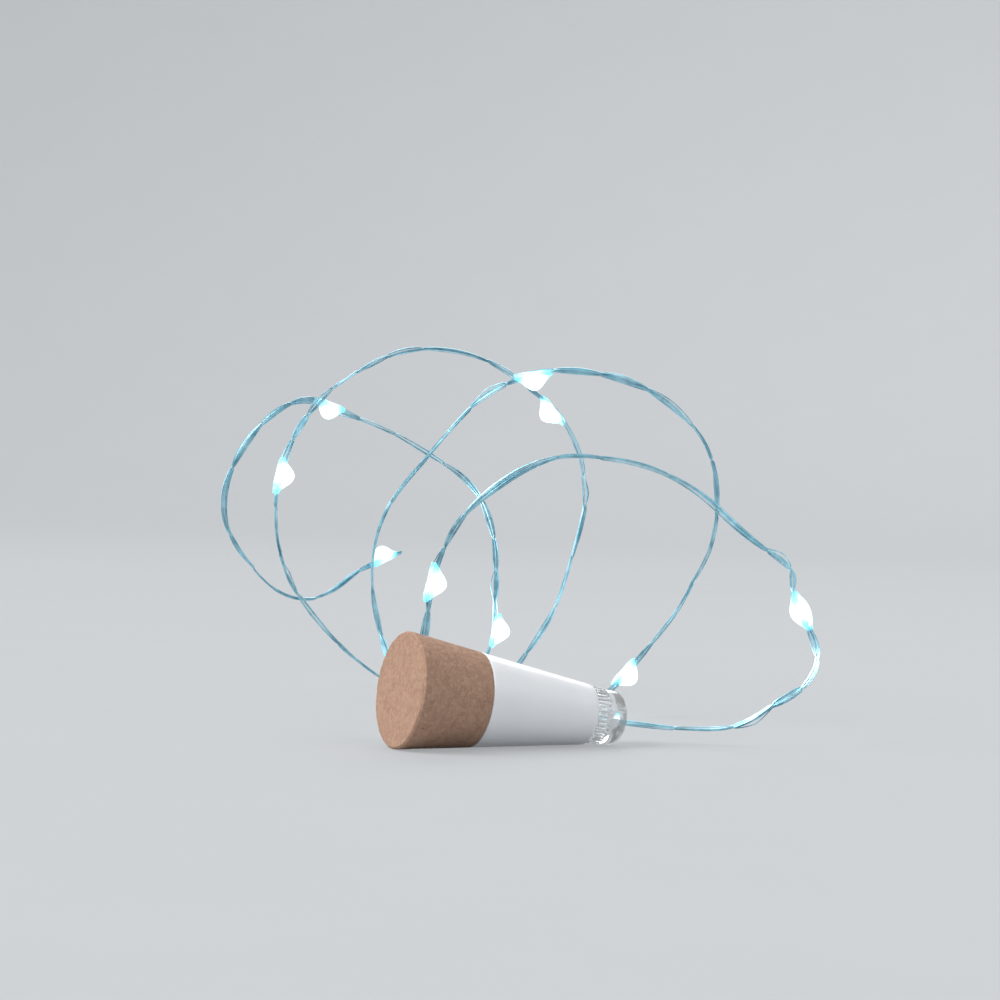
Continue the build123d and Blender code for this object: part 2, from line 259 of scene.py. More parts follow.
def cork_body():
    """The turned cork, with its granules in relief and its recess and pocket."""
    seam_radius = taper_radius(cork_length)
    pocket_reach = math.hypot(pocket_height, pocket_width) / 2
    shape = turned(
        [
            (0, 0),
            (wide_radius - cork_edge, 0),
            (taper_radius(cork_edge), cork_edge),
            (seam_radius, cork_length),
            (recess_radius, cork_length),
            (recess_radius, cork_length - recess_depth),
            (pocket_reach, cork_length - recess_depth),
            (pocket_reach, pocket_start),
            (0, pocket_start),
        ],
        cork_sides,
        cork_step,
    )
    shape.normal_update()
    for vertex in shape.verts:
        spot = vertex.co
        radius = math.hypot(spot.x, spot.y)
        outside = spot.z < cork_edge / 2 or radius > taper_radius(spot.z) - cork_edge / 2
        if outside:
            from_edge = abs(spot.z - cork_edge / 2) + wide_radius - radius
            from_seam = cork_length - spot.z + seam_rim_reach
            near_rim = max(0, 1 - min(from_edge, from_seam) / rim_reach)
            chip = rim_chip_depth * max(0, noise.noise(spot / granule_size)) * near_rim
            vertex.co = spot - vertex.normal * (cork_dent(spot) + chip)
        elif radius > 0 and spot.z > pocket_start / 2 and radius < pocket_reach + wall_slack:
            upwards = abs(spot.x / radius + not_zero)
            sideways = abs(spot.y / radius + not_zero)
            flat = min(pocket_height / 2 / upwards, pocket_width / 2 / sideways)
            share = min(1, flat / pocket_reach)
            vertex.co = Vector((spot.x * share, spot.y * share, spot.z))
    return shape


cork_pale = (0.455, 0.295, 0.21)
cork_mid = (0.40, 0.248, 0.173)
cork_deep = (0.345, 0.207, 0.143)
cork_bark = (0.22, 0.127, 0.087)
cork_glue = (0.86, 0.82, 0.78, 1)
layer_stretch = 5
crumb_size = granule_size / 2.6
fibre_size = granule_size / 6
cloud_size = 5 * granule_size
granule_relief = granule_size / 25
granule_rim_share = 0.09
cork_finish, cork_shader, cork_place = new_finish("pressed_cork", Specular_IOR_Level=0.25)
cork_wander = cork_place.node(
    "ShaderNodeTexNoise", {}, {"Vector": cork_place, "Scale": 2 / granule_size, "Detail": 2}, "Color"
)
cork_spot = cork_place.node(
    "ShaderNodeVectorMath",
    {"operation": "MULTIPLY_ADD"},
    {0: cork_wander, 1: (granule_size / 2,) * 3, 2: cork_place},
)
granule_tone = cell_tone(cork_spot, granule_size)
crumb_tone = cell_tone(cork_spot, crumb_size)
granule_inside = ranged(cell_edge(cork_spot, granule_size), 0, granule_rim_share)
cork_fibre = speckle(cork_place, fibre_size, detail=5)
cork_cloud = speckle(cork_place, cloud_size)
cork_laid = cork_place.node(
    "ShaderNodeMapping",
    {"vector_type": "TEXTURE"},
    {"Vector": cork_place, "Rotation": stopper.to_euler(), "Scale": (layer_stretch, layer_stretch, 1)},
)
cork_layer = speckle(cork_laid, granule_size, detail=4)
cork_tone = (
    0.3 * granule_tone
    + 0.15 * crumb_tone
    + 0.3 * cork_fibre
    + 0.2 * cork_cloud
    + 0.35 * cork_layer
    - 0.15
)
cork_colour = colours(
    cork_tone, (0.15, cork_bark), (0.28, cork_deep), (0.5, cork_mid), (0.78, cork_pale)
)
cork_jointed = mixed("MULTIPLY", 1 - granule_inside, cork_colour, cork_glue)
cork_place.feed(cork_shader.inputs["Base Color"], cork_jointed)
cork_place.feed(cork_shader.inputs["Roughness"], 0.78 + 0.18 * cork_fibre)
cork_height = 0.6 * granule_inside + 0.5 * cork_fibre + 0.3 * crumb_tone
cork_place.feed(cork_shader.inputs["Normal"], relief(cork_height, granule_relief))
shown("cork_cap_skin", meshed(cork_body()), cork_finish, "cap", ["cork_cap"])


# The liner is a moulded cup, glued into the cork, that slides over the plug and holds by
# friction. Its round flange closes the cork's recess. It keeps the shape of its solid.
liner_colour = (0.70, 0.69, 0.66)
skin_patch = 0.003
skin_depth = 0.000004
grains_per_patch = 12
moulded_shade_share = 0.97


def moulded(name, colour, roughness, patch=skin_patch, depth=skin_depth, **constants):
    """A moulded plastic or resin: one colour that clouds a little, under a fine skin."""
    finish, shader, place = new_finish(name, **constants)
    cloud = speckle(place, patch)
    grain = speckle(place, patch / grains_per_patch)
    shade = tuple(moulded_shade_share * tone for tone in colour)
    place.feed(shader.inputs["Base Color"], colours(cloud, (0.3, shade), (0.7, colour)))
    place.feed(shader.inputs["Roughness"], roughness + 0.05 * cloud)
    place.feed(shader.inputs["Normal"], relief(grain, depth))
    return finish


def dressed(finish, *nodes):
    """Gives a finish to CAD pieces that keep their own shape."""
    for node in nodes:
        for slot in bpy.data.objects[node].material_slots:
            slot.material = finish


dressed(moulded("liner_plastic", liner_colour, roughness=0.42), "cap_liner")


# The white shell is one turned moulding in satin white, on the same taper as the cork. Its
# edges are barely broken, and a fine seam parts it from the cork and from the clear tip.
shell_start = cork_length + seam_gap
shell_end = cork_length + shell_length
shell_wall = 0.0013
end_wall = 0.0021
plate_thickness = 0.0012
plate_step = 0.0009
spigot_radius = 0.0043
turning_clearance = 0.00008
shell_edge = 0.00015
shell_step = 0.001
shell_sides = 192
shell_white = (0.81, 0.818, 0.83)
shell_patch = 0.008
shell_skin_depth = 0.0000015


def softened(shape, reach, segments=3, sharp=25):
    """Rounds every edge of a bmesh where two faces meet at more than a few degrees."""
    limit = math.radians(sharp)
    edges = [edge for edge in shape.edges if edge.is_manifold and edge.calc_face_angle() > limit]
    bmesh.ops.bevel(
        shape,
        geom=edges,
        offset=reach,
        segments=segments,
        profile=0.5,
        affect="EDGES",
        clamp_overlap=True,
        material=-1,
    )


def shell_body():
    """The turned shell: an outer taper, a stepped mouth for the plate and the tip's bore."""
    plate_radius = taper_radius(shell_start) - plate_step
    bore_radius = spigot_radius + turning_clearance
    shape = turned(
        [
            (plate_radius, shell_start),
            (taper_radius(shell_start), shell_start),
            (taper_radius(shell_end), shell_end),
            (bore_radius, shell_end),
            (bore_radius, shell_end - end_wall),
            (taper_radius(shell_end - end_wall) - shell_wall, shell_end - end_wall),
            (taper_radius(shell_start + plate_thickness) - shell_wall, shell_start + plate_thickness),
            (plate_radius, shell_start + plate_thickness),
        ],
        shell_sides,
        shell_step,
        closed=True,
    )
    softened(shape, shell_edge)
    return shape


shell_finish = moulded(
    "satin_white_shell",
    shell_white,
    roughness=0.3,
    patch=shell_patch,
    depth=shell_skin_depth,
    Coat_Weight=0.25,
    Coat_Roughness=0.34,
)
shown("white_shell", meshed(shell_body()), shell_finish, "housing", ["body_shell"])


# The end plate is a flat white moulding, pressed into the shell's mouth, that holds the
# plug's neck. It keeps the shape of its solid.
dressed(moulded("white_end_plate", shell_white, roughness=0.36), "end_plate")


# The plug's shell is folded from thin nickel-plated steel: rounded long edges, a seam along
# its underside and two latch windows in each broad side. It is held by the end plate.
plug_height = 0.0045
plug_width = 0.012
plug_standout = 0.01175
plug_start = shell_start - plug_standout
plug_length = 0.01675
plug_wall = 0.00032
plug_corner = 0.0007
window_width = 0.0022
window_length = 0.002
window_spacing = 0.0056
window_setback = 0.0056
fold_seam = 0.00008
mouth_edge = 0.00007
rub_stretch = 12
plated_shade_share = 0.82
plug_colour = (0.66, 0.665, 0.68)


def plated(name, colour, roughness):
    """A plated metal, rubbed along the stopper's axis and a little duller in places."""
    finish, shader, place = new_finish(name, Metallic=1.0)
    laid = place.node(
        "ShaderNodeMapping",
        {"vector_type": "TEXTURE"},
        {"Vector": place, "Rotation": stopper.to_euler(), "Scale": (1, 1, rub_stretch)},
    )
    rubbed = speckle(laid, skin_patch / grains_per_patch, detail=4)
    cloud = speckle(place, skin_patch)
    shade = tuple(plated_shade_share * tone for tone in colour)
    place.feed(shader.inputs["Base Color"], colours(cloud, (0.3, shade), (0.65, colour)))
    place.feed(shader.inputs["Roughness"], roughness + 0.15 * rubbed)
    place.feed(shader.inputs["Normal"], relief(rubbed, skin_depth))
    return finish


def split(shape, place, direction):
    """Cuts a bmesh's faces along a plane, keeping both sides."""
    geometry = list(shape.verts) + list(shape.edges) + list(shape.faces)
    bmesh.ops.bisect_plane(
        shape, geom=geometry, dist=merge_reach, plane_co=place, plane_no=direction
    )


def plug_body():
    """The folded plug shell."""
    shape = bmesh.new()
    bmesh.ops.create_cube(shape, size=1)
    bmesh.ops.scale(shape, vec=(plug_height, plug_width, plug_length), verts=shape.verts)
    bmesh.ops.translate(shape, vec=(0, 0, plug_start + plug_length / 2), verts=shape.verts)
    long_edges = [
        edge for edge in shape.edges if abs((edge.verts[0].co - edge.verts[1].co).z) > plug_width
    ]
    bmesh.ops.bevel(
        shape,
        geom=long_edges,
        offset=plug_corner,
        segments=6,
        profile=0.5,
        affect="EDGES",
        clamp_overlap=True,
        material=-1,
    )
    shape.normal_update()
    ends = [face for face in shape.faces if abs(face.normal.z) > 1 / 2]
    bmesh.ops.delete(shape, geom=ends, context="FACES_ONLY")
    for station in (plug_start + window_setback, plug_start + window_setback + window_length):
        split(shape, (0, 0, station), (0, 0, 1))
    for side in (-1, 1):
        for edge in (-1, 1):
            split(shape, (0, (side * window_spacing + edge * window_width) / 2, 0), (0, 1, 0))
        split(shape, (0, side * fold_seam / 2, 0), (0, 1, 0))
    open_faces = []
    for face in shape.faces:
        spot = face.calc_center_median()
        beside = abs(abs(spot.y) - window_spacing / 2) < window_width / 2
        in_window = beside and 0 < spot.z - plug_start - window_setback < window_length
        in_seam = abs(spot.y) < fold_seam / 2 and spot.x < 0
        if abs(spot.x) > plug_height / 2 - plug_wall and (in_window or in_seam):
            open_faces.append(face)
    bmesh.ops.delete(shape, geom=open_faces, context="FACES")
    bmesh.ops.recalc_face_normals(shape, faces=shape.faces)
    bmesh.ops.solidify(shape, geom=shape.faces, thickness=plug_wall)
    bmesh.ops.recalc_face_normals(shape, faces=shape.faces)
    softened(shape, mouth_edge, segments=2, sharp=60)
    return shape


plug_nickel = plated("plug_nickel", plug_colour, roughness=0.2)
shown("plug_shell", meshed(plug_body()), plug_nickel, "housing", ["usb_plug_shell"])


# The plug's tongue is a black moulding with four gold-plated spring strips along it, which
# bend up behind the plug to the circuit board. Both keep the shape of their solids.
gold_colour = (0.83, 0.62, 0.28)
tongue_black = (0.022, 0.022, 0.025)
gold_plate = plated("gold_plate", gold_colour, roughness=0.22)
dressed(moulded("tongue_plastic", tongue_black, roughness=0.45), "usb_tongue")
dressed(gold_plate, "usb_contacts")


# The circuit board is green glass-fibre board with copper tracks under its solder mask. It
# carries the charger chip, the driver chip, four small parts and a red charge lamp.
board_green = (0.02, 0.16, 0.07)
track_green = (0.045, 0.26, 0.11)
track_pitch = 0.0009
weave_size = track_pitch / 4
resin_black = (0.03, 0.03, 0.034)
resin_skin_depth = 2 * skin_depth
ceramic_tan = (0.42, 0.29, 0.18)
lamp_red = (0.62, 0.04, 0.03)


def board_finish(name):
    """Solder mask: paler green over the copper tracks, with a faint weave below it."""
    finish, shader, place = new_finish(name, Coat_Weight=0.4, Coat_Roughness=0.15)
    track = cell_edge(place, track_pitch)
    over_track = colours(track, (0.06, track_green), (0.1, board_green))
    weave = speckle(place, weave_size)
    place.feed(shader.inputs["Base Color"], over_track)
    place.feed(shader.inputs["Roughness"], 0.3 + 0.15 * weave)
    place.feed(shader.inputs["Normal"], relief(1 - track, skin_depth))
    return finish


solder_mask = board_finish("solder_mask")
dressed(solder_mask, "circuit_board")
chip_resin = moulded("chip_resin", resin_black, roughness=0.6, depth=resin_skin_depth)
dressed(chip_resin, "charge_chip", "driver_chip")
dressed(moulded("tan_ceramic", ceramic_tan, roughness=0.55), "board_parts")
dressed(moulded("red_lamp_lens", lamp_red, roughness=0.12, Coat_Weight=0.6), "charge_indicator")


# The lithium cell is a pouch of aluminium foil under a film, stuck to the board by a foam
# pad, with two nickel tabs soldered to the board's end.
foil_crease = 0.0018
foil_relief = foil_crease / 30
foil_dark = (0.56, 0.57, 0.59)
foil_pale = (0.68, 0.69, 0.71)
foam_colour = (0.72, 0.70, 0.65)
foam_skin_depth = 5 * skin_depth
tab_colour = (0.60, 0.59, 0.56)


def foil_finish():
    """Satin foil with the soft creases of a pouch."""
    finish, shader, place = new_finish("pouch_foil", Metallic=0.9)
    crease = speckle(place, foil_crease, detail=2)
    place.feed(shader.inputs["Base Color"], colours(crease, (0.3, foil_dark), (0.7, foil_pale)))
    place.feed(shader.inputs["Roughness"], 0.3 + 0.2 * crease)
    place.feed(shader.inputs["Normal"], relief(crease, foil_relief))
    return finish


dressed(foil_finish(), "lithium_cell")
pad_foam = moulded("pad_foam", foam_colour, roughness=0.8, depth=foam_skin_depth)
dressed(pad_foam, "cell_pad")
dressed(plated("tab_nickel", tab_colour, roughness=0.28), "cell_tabs")


# The twist switch is a small round board with two gold tracks, which a gold spring ring
# under the clear tip wipes. A glued bush in its middle holds the string's inner end.
dressed(solder_mask, "switch_board")
dressed(gold_plate, "switch_tracks", "tip_wiper")
dressed(moulded("bush_plastic", liner_colour, roughness=0.4), "lead_bush")


# The clear tip is moulded in one piece: a spigot with a snap lip that turns in the shell, a
# fluted grip, a barrel with a well rounded end, and a bore that narrows in an eight-sided
# star to the string's hole.
tip_gap = 0.0001
spigot_length = 0.00305
lip_rise = 0.0003
lip_length = 0.0007
rib_radius = 0.0054
rib_length = 0.0028
rib_count = 36
rib_steps = 10
rib_depth = 0.00032
flute_radius = 0.00035
rib_shoulder = 0.0002
barrel_radius = 0.0053
barrel_length = 0.0019
end_rounding = 0.0025
rounding_steps = 12
tip_bore_radius = 0.0032
facet_count = 8
facet_end_radius = 0.0016
facet_length = 0.003
string_radius = 0.0006
string_drop = 0.0007
string_clearance = 0.0001
tip_edge = 0.00012
tip_step = 0.0003
star_slack = tip_step / 9
spigot_start = shell_end - spigot_length
rib_start = shell_end + tip_gap
rib_end = rib_start + rib_length
barrel_end = rib_end + barrel_length
tip_end = barrel_end + end_rounding


def flute_depth(turn):
    """How far the fluted grip lies inside its full radius at an angle about the axis."""
    pitch = full_turn / rib_count
    away = (turn / pitch) % 1 - 0.5
    centre = rib_radius - rib_depth + flute_radius
    across = centre * math.sin(away * pitch)
    if abs(across) >= flute_radius:
        return 0
    reach = centre * math.cos(away * pitch) - math.sqrt(flute_radius**2 - across**2)
    return max(0, rib_radius - reach)


def facet_share(turn):
    """How near a flat of the eight-sided star comes to the axis, as a share of its corner."""
    pitch = full_turn / facet_count
    away = (turn / pitch) % 1 - 0.5
    return math.cos(pitch / 2) / math.cos(away * pitch)


def tip_body():
    """The turned tip, with its flutes and its star pressed into the turned form."""
    hole_radius = string_drop + string_radius + string_clearance
    rounding = []
    for step in range(rounding_steps + 1):
        turn = math.pi / 2 * step / rounding_steps
        radius = barrel_radius - end_rounding * (1 - math.cos(turn))
        rounding.append((radius, barrel_end + end_rounding * math.sin(turn)))
    shape = turned(
        [
            (tip_bore_radius, spigot_start),
            (spigot_radius + lip_rise, spigot_start),
            (spigot_radius + lip_rise, spigot_start + lip_length),
            (spigot_radius, spigot_start + lip_length),
            (spigot_radius, rib_start),
            (rib_radius - rib_shoulder, rib_start),
            (rib_radius, rib_start + rib_shoulder),
            (rib_radius, rib_end - rib_shoulder),
            (barrel_radius, rib_end),
        ]
        + rounding
        + [
            (hole_radius + tip_edge, tip_end),
            (hole_radius, tip_end - tip_edge),
            (hole_radius, rib_end + facet_length),
            (facet_end_radius, rib_end + facet_length),
            (tip_bore_radius, rib_end),
        ],
        rib_count * rib_steps,
        tip_step,
        closed=True,
    )
    for vertex in shape.verts:
        spot = vertex.co
        radius = math.hypot(spot.x, spot.y)
        turn = math.atan2(spot.y, spot.x) % full_turn
        in_grip = rib_start - tip_gap / 2 < spot.z < rib_end - rib_shoulder / 2
        in_star = rib_end + tip_step / 2 < spot.z < rib_end + facet_length + star_slack
        share = 1
        if in_grip and radius > rib_radius - rib_depth:
            share = 1 - max(0, flute_depth(turn) - (rib_radius - radius)) / radius
        elif in_star and hole_radius + tip_edge / 2 < radius < tip_bore_radius:
            share = facet_share(turn)
        vertex.co = Vector((spot.x * share, spot.y * share, spot.z))
    return shape


tip_tint = (0.955, 0.975, 0.99)
tip_clear = (0.985, 0.995, 1.0)
tip_cloud_size = 0.002
tip_ripple_size = 0.0008
tip_ripple_depth = 0.000003
tip_finish, tip_shader, tip_place = new_finish(
    "clear_moulded_plastic", Transmission_Weight=0.82, IOR=1.49, Alpha=0.94
)
tip_cloud = speckle(tip_place, tip_cloud_size)
tip_ripple = speckle(tip_place, tip_ripple_size)
tip_colour = colours(tip_cloud, (0.2, tip_tint), (0.8, tip_clear))
tip_place.feed(tip_shader.inputs["Base Color"], tip_colour)
tip_place.feed(tip_shader.inputs["Roughness"], 0.02 + 0.04 * tip_cloud)
tip_place.feed(tip_shader.inputs["Normal"], relief(tip_ripple, tip_ripple_depth))
tip_mesh = meshed(tip_body())
shown("clear_twist_tip", tip_mesh, tip_finish, "tip", ["clear_tip"], crease=28)


# The string leaves the tip a little below its axis and stands behind the stopper in four
# loops. The route is chosen on the photograph, and its points steer one smooth curve.
straight_exit = 0.004
string_route = [
    stopper @ Vector((-string_drop, 0, tip_end)),
    stopper @ Vector((-string_drop, 0, tip_end + straight_exit)),
    (0.0373, -0.003, 0.0028), (0.045, -0.0099, 0.0036), (0.0511, -0.0146, 0.0093),
    (0.058, -0.0159, 0.0154), (0.0586, -0.0134, 0.0208), (0.0553, -0.0105, 0.0289),
    (0.0553, -0.0092, 0.0348), (0.0475, -0.0051, 0.04), (0.0388, 0.002, 0.05),
    (0.0278, 0.009, 0.0547), (0.0143, 0.0155, 0.0545), (0.0028, 0.023, 0.0455),
    (-0.0022, 0.029, 0.036), (-0.0035, 0.0317, 0.0275), (-0.0039, 0.0326, 0.0185),
    (-0.0067, 0.029, 0.0095), (-0.0027, 0.025, 0.0015), (0.0083, 0.026, 0.001),
    (0.0228, 0.033, 0.001), (0.0398, 0.043, 0.0025), (0.0544, 0.0492, 0.0139),
    (0.0628, 0.044, 0.0255), (0.0643, 0.037, 0.0405), (0.0623, 0.033, 0.0555),
    (0.0533, 0.033, 0.0655), (0.0408, 0.037, 0.072), (0.0298, 0.043, 0.0725),
    (0.0188, 0.049, 0.07), (0.0084, 0.0562, 0.0569), (-0.0005, 0.0621, 0.0427),
    (-0.0023, 0.0646, 0.0295), (0.0005, 0.064, 0.017), (0.0023, 0.0575, 0.0065),
    (0.0088, 0.052, 0.0032), (0.0233, 0.0565, 0.0045), (0.0376, 0.065, 0.015),
    (0.0482, 0.0713, 0.032), (0.0553, 0.078, 0.0495), (0.0518, 0.085, 0.063),
    (0.0443, 0.092, 0.072), (0.0323, 0.098, 0.078),
    (0.0143, 0.097, 0.0775), (-0.0037, 0.088, 0.068), (-0.0162, 0.079, 0.0565),
    (-0.0208, 0.0748, 0.0425), (-0.0184, 0.0777, 0.0313), (-0.0096, 0.0845, 0.0204),
    (0.0034, 0.0897, 0.0095), (0.0178, 0.092, 0.002), (0.0318, 0.092, 0.0035),
    (0.0398, 0.092, 0.012), (0.0428, 0.0972, 0.024), (0.0484, 0.1122, 0.036),
    (0.0478, 0.126, 0.049), (0.0338, 0.13, 0.057), (0.0163, 0.122, 0.063),
    (0.0003, 0.116, 0.0672), (-0.0107, 0.119, 0.0575),
    (-0.0167, 0.121, 0.0435), (-0.0126, 0.1207, 0.0304), (-0.0007, 0.1218, 0.0207),
    (0.0116, 0.1261, 0.0203), (0.0234, 0.1312, 0.0272), (0.0338, 0.134, 0.031),
]
curve_order = 3
curve_steps = 32
string_step = 0.0009


def smooth_line(points, steps):
    """Points read from one smooth curve that the given points steer."""
    curve = bpy.data.curves.new("route", "CURVE")
    curve.dimensions = "3D"
    curve.resolution_u = steps
    spline = curve.splines.new("NURBS")
    spline.points.add(len(points) - 1)
    for steering, point in zip(spline.points, points):
        steering.co = (*point, 1)
    spline.order_u = curve_order
    spline.use_endpoint_u = True
    holder = bpy.data.objects.new("route", curve)
    mesh = bpy.data.meshes.new_from_object(holder)
    line = [vertex.co.copy() for vertex in mesh.vertices]
    bpy.data.objects.remove(holder)
    bpy.data.meshes.remove(mesh)
    return line


def evenly(line, step):
    """Points at even distances along a line, its two ends among them."""
    length = sum((b - a).length for a, b in zip(line, line[1:]))
    count = round(length / step)
    gap = length / count
    points = [line[0]]
    walked = 0
    for a, b in zip(line, line[1:]):
        run = (b - a).length
        while len(points) < count and len(points) * gap <= walked + run:
            points.append(a.lerp(b, (len(points) * gap - walked) / run))
        walked += run
    points.append(line[-1])
    return points, gap


string_line, string_gap = evenly(smooth_line(string_route, curve_steps), string_step)


# Inside the tip and outside it the string is a bundle of seven fine wires, drawn silver
# under a clear coat. They lie side by side as a loose ribbon, which sways to and fro, is
# pinched every centimetre or so where they change places, and has a small bend there. The
# pinches of the first stretch, and the two groups in which the wires leave the tip, are read
# from the photograph.
strand_count = 7
strand_radius = 0.00012
strand_bevel_steps = 1
near_pinches = [
    0.011, 0.0225, 0.0315, 0.0385, 0.045, 0.0515, 0.059,
    0.063, 0.069, 0.093, 0.107, 0.115, 0.136, 0.144,
]
pinch_gaps = (0.007, 0.018)
pinch_reach = 0.0003
belly_reaches = (0.0005, 0.0008)
belly_power = 0.8
stray_reach_share = 2
stray_every = 6
stray_first = 2
bend_reach = 0.0006
ribbon_turn = math.radians(50)
ribbon_turn_length = 0.09
thickness_reach = 0.00028
lead_start = 0.03425
exit_lane_shares = (-1, -0.8, -0.6, 0.5, 0.7, 0.85, 1)
bundle_seed = 11


def along(points):
    """Direction of a line of points at each of them."""
    last = len(points) - 1
    return [
        (points[min(i + 1, last)] - points[max(i - 1, 0)]).normalized() for i in range(last + 1)
    ]


def sides(points):
    """One direction square to a line at each of its points, carried along without twist."""
    carried = []
    side = up.copy()
    for direction in along(points):
        side = (side - direction * side.dot(direction)).normalized()
        carried.append((side, direction.cross(side)))
    return carried


lead_length = tip_end - lead_start
lead_steps = round(lead_length / string_gap)
lead_line = [
    stopper @ Vector((-string_drop, 0, lead_start + lead_length * step / lead_steps))
    for step in range(lead_steps)
]
whole_line = lead_line + string_line
whole_sides = sides(whole_line)
chance = random.Random(bundle_seed)


def strand_lines():
    """The lines of the single wires, lead and string in one."""
    lines = [[] for _ in range(strand_count)]
    span_start = -lead_length
    pinches = list(near_pinches)
    span_end = pinches.pop(0)
    lanes = list(exit_lane_shares)
    belly = belly_reaches[0]
    bend = next_bend = Vector((0, 0))
    spans = 0
    stray = None
    for step, (centre, (side, other)) in enumerate(zip(whole_line, whole_sides)):
        station = step * string_gap
        if station - lead_length > span_end:
            span_start = span_end
            span_end = pinches.pop(0) if pinches else span_end + chance.uniform(*pinch_gaps)
            belly = chance.uniform(*belly_reaches)
            lanes = [2 * strand / (strand_count - 1) - 1 for strand in range(strand_count)]
            chance.shuffle(lanes)
            bend = next_bend
            next_bend = Vector((chance.uniform(-1, 1), chance.uniform(-1, 1))) * bend_reach
            spans += 1
            stray = lanes.index(min(lanes)) if spans % stray_every == stray_first else None
        share = (station - lead_length - span_start) / (span_end - span_start)
        swell = math.sin(math.pi * share) ** belly_power
        turn = ribbon_turn * math.sin(full_turn * station / ribbon_turn_length)
        wide = side * math.cos(turn) + other * math.sin(turn)
        thick = other * math.cos(turn) - side * math.sin(turn)
        middle = bend.lerp(next_bend, share)
        for strand in range(strand_count):
            reach = lanes[strand] * (pinch_reach + (belly - pinch_reach) * swell)
            if strand == stray:
                reach *= 1 + (stray_reach_share - 1) * (1 - abs(2 * share - 1))
            depth = thickness_reach * (1 if strand % 2 else -1) * lanes[strand - 1]
            point = centre + side * middle.x + other * middle.y + wide * reach + thick * depth
            point.z = max(point.z, strand_radius)
            lines[strand].append(point)
    return lines


def wires(name, lines):
    """A mesh of round wires along the given lines."""
    curve = bpy.data.curves.new(name, "CURVE")
    curve.dimensions = "3D"
    curve.bevel_depth = strand_radius
    curve.bevel_resolution = strand_bevel_steps
    curve.use_fill_caps = True
    for line in lines:
        spline = curve.splines.new("POLY")
        spline.points.add(len(line) - 1)
        for place, point in zip(spline.points, line):
            place.co = (*point, 1)
    holder = bpy.data.objects.new(name, curve)
    mesh = bpy.data.meshes.new_from_object(holder)
    bpy.data.objects.remove(holder)
    return mesh


# The wires' teal and pale cyan are painted light: silver under a clear coat, laid over with the cyan
# glow of the lit lamps, and mottled at random.
wire_silver_in_painted_teal_light = (0.18, 0.43, 0.54)
wire_pale_in_painted_teal_light = (0.46, 0.78, 0.88)
wire_patch = 0.004
wire_finish, wire_shader, wire_place = new_finish(
    "string_wire_finish", Metallic=0.85, Coat_Weight=0.4, Coat_Roughness=0.15
)
wire_mottle = speckle(wire_place, wire_patch)
wire_painted_teal_light_tint = colours(wire_mottle, (0.35, wire_silver_in_painted_teal_light), (0.65, wire_pale_in_painted_teal_light))
wire_place.feed(wire_shader.inputs["Base Color"], wire_painted_teal_light_tint)
wire_place.feed(wire_shader.inputs["Roughness"], 0.3 + 0.2 * wire_mottle)

strands = strand_lines()
lead_mesh = wires("lead", [line[: lead_steps + 1] for line in strands])
string_mesh = wires("string", [line[lead_steps:] for line in strands])
shown("lead_strands", lead_mesh, wire_finish, "housing", ["string_leads"])
string = shown("string_strands", string_mesh, wire_finish, "housing", ["string_wire"])


# Each of the ten lights is a small lamp chip on the wires under one drop of clear resin,
# which hangs to one side and runs out along the wires as two thin tails. They are lit.
light_shares = [0.0611, 0.1683, 0.2655, 0.375, 0.476, 0.5765, 0.678, 0.7836, 0.8842, 0.9945]
light_sides = [
    (0.2, 1, 0), (1, -0.5, 0), (1, -0.5, -1), (0, 0, -1), (0, 0, -1),
    (-1, 0.4, -1), (1, -1, 0), (1, -0.5, 0), (-0.5, 0.2, -1), (0, 0, 1),
]
drop_length = 0.008
drop_radius = 0.002
tail_radius = 0.0006
drop_offset = 0.0013
drop_rings = 22
drop_sides = 28
drop_power = 1.5
chip_size = (0.0006, 0.0008, 0.0016)
chip_offset = 0.00095
chip_edge = 0.0001
glow_reach = 0.0046


def light_place(share, towards):
    """Frame of one light: z along the wire, x to the side on which the resin hangs."""
    step = round(share * (len(string_line) - 1))
    direction = along(string_line)[step]
    side = Vector(towards)
    side = (side - direction * side.dot(direction)).normalized()
    place = Matrix((side, direction.cross(side), direction)).transposed().to_4x4()
    place.translation = string_line[step]
    return place


def resin_drop():
    """One drop: a belly between two tails, pushed to the side of its chip."""
    corners = [(0, -drop_length / 2)]
    for ring in range(drop_rings + 1):
        share = 2 * ring / drop_rings - 1
        swell = math.cos(share * math.pi / 2) ** drop_power
        corners.append((tail_radius + (drop_radius - tail_radius) * swell, share * drop_length / 2))
    corners.append((0, drop_length / 2))
    shape = turned(corners, drop_sides)
    for vertex in shape.verts:
        share = 2 * vertex.co.z / drop_length
        vertex.co.x += drop_offset * math.cos(share * math.pi / 2) ** 2
    return shape


def lamp_chip():
    """The small block of the lamp, with softened edges."""
    shape = bmesh.new()
    bmesh.ops.create_cube(shape, size=1)
    bmesh.ops.scale(shape, vec=chip_size, verts=shape.verts)
    bmesh.ops.translate(shape, vec=(chip_offset, 0, 0), verts=shape.verts)
    bmesh.ops.bevel(
        shape,
        geom=shape.edges,
        offset=chip_edge,
        segments=2,
        profile=0.5,
        affect="EDGES",
        material=-1,
    )
    return shape


glow_stops = [
    (0, (0, 0.08, 0.1)),
    (0.3, (0.01, 0.3, 0.37)),
    (0.6, (0.1, 0.62, 0.72)),
    (0.85, (0.42, 0.88, 0.95)),
    (1, (0.75, 0.98, 1)),
]
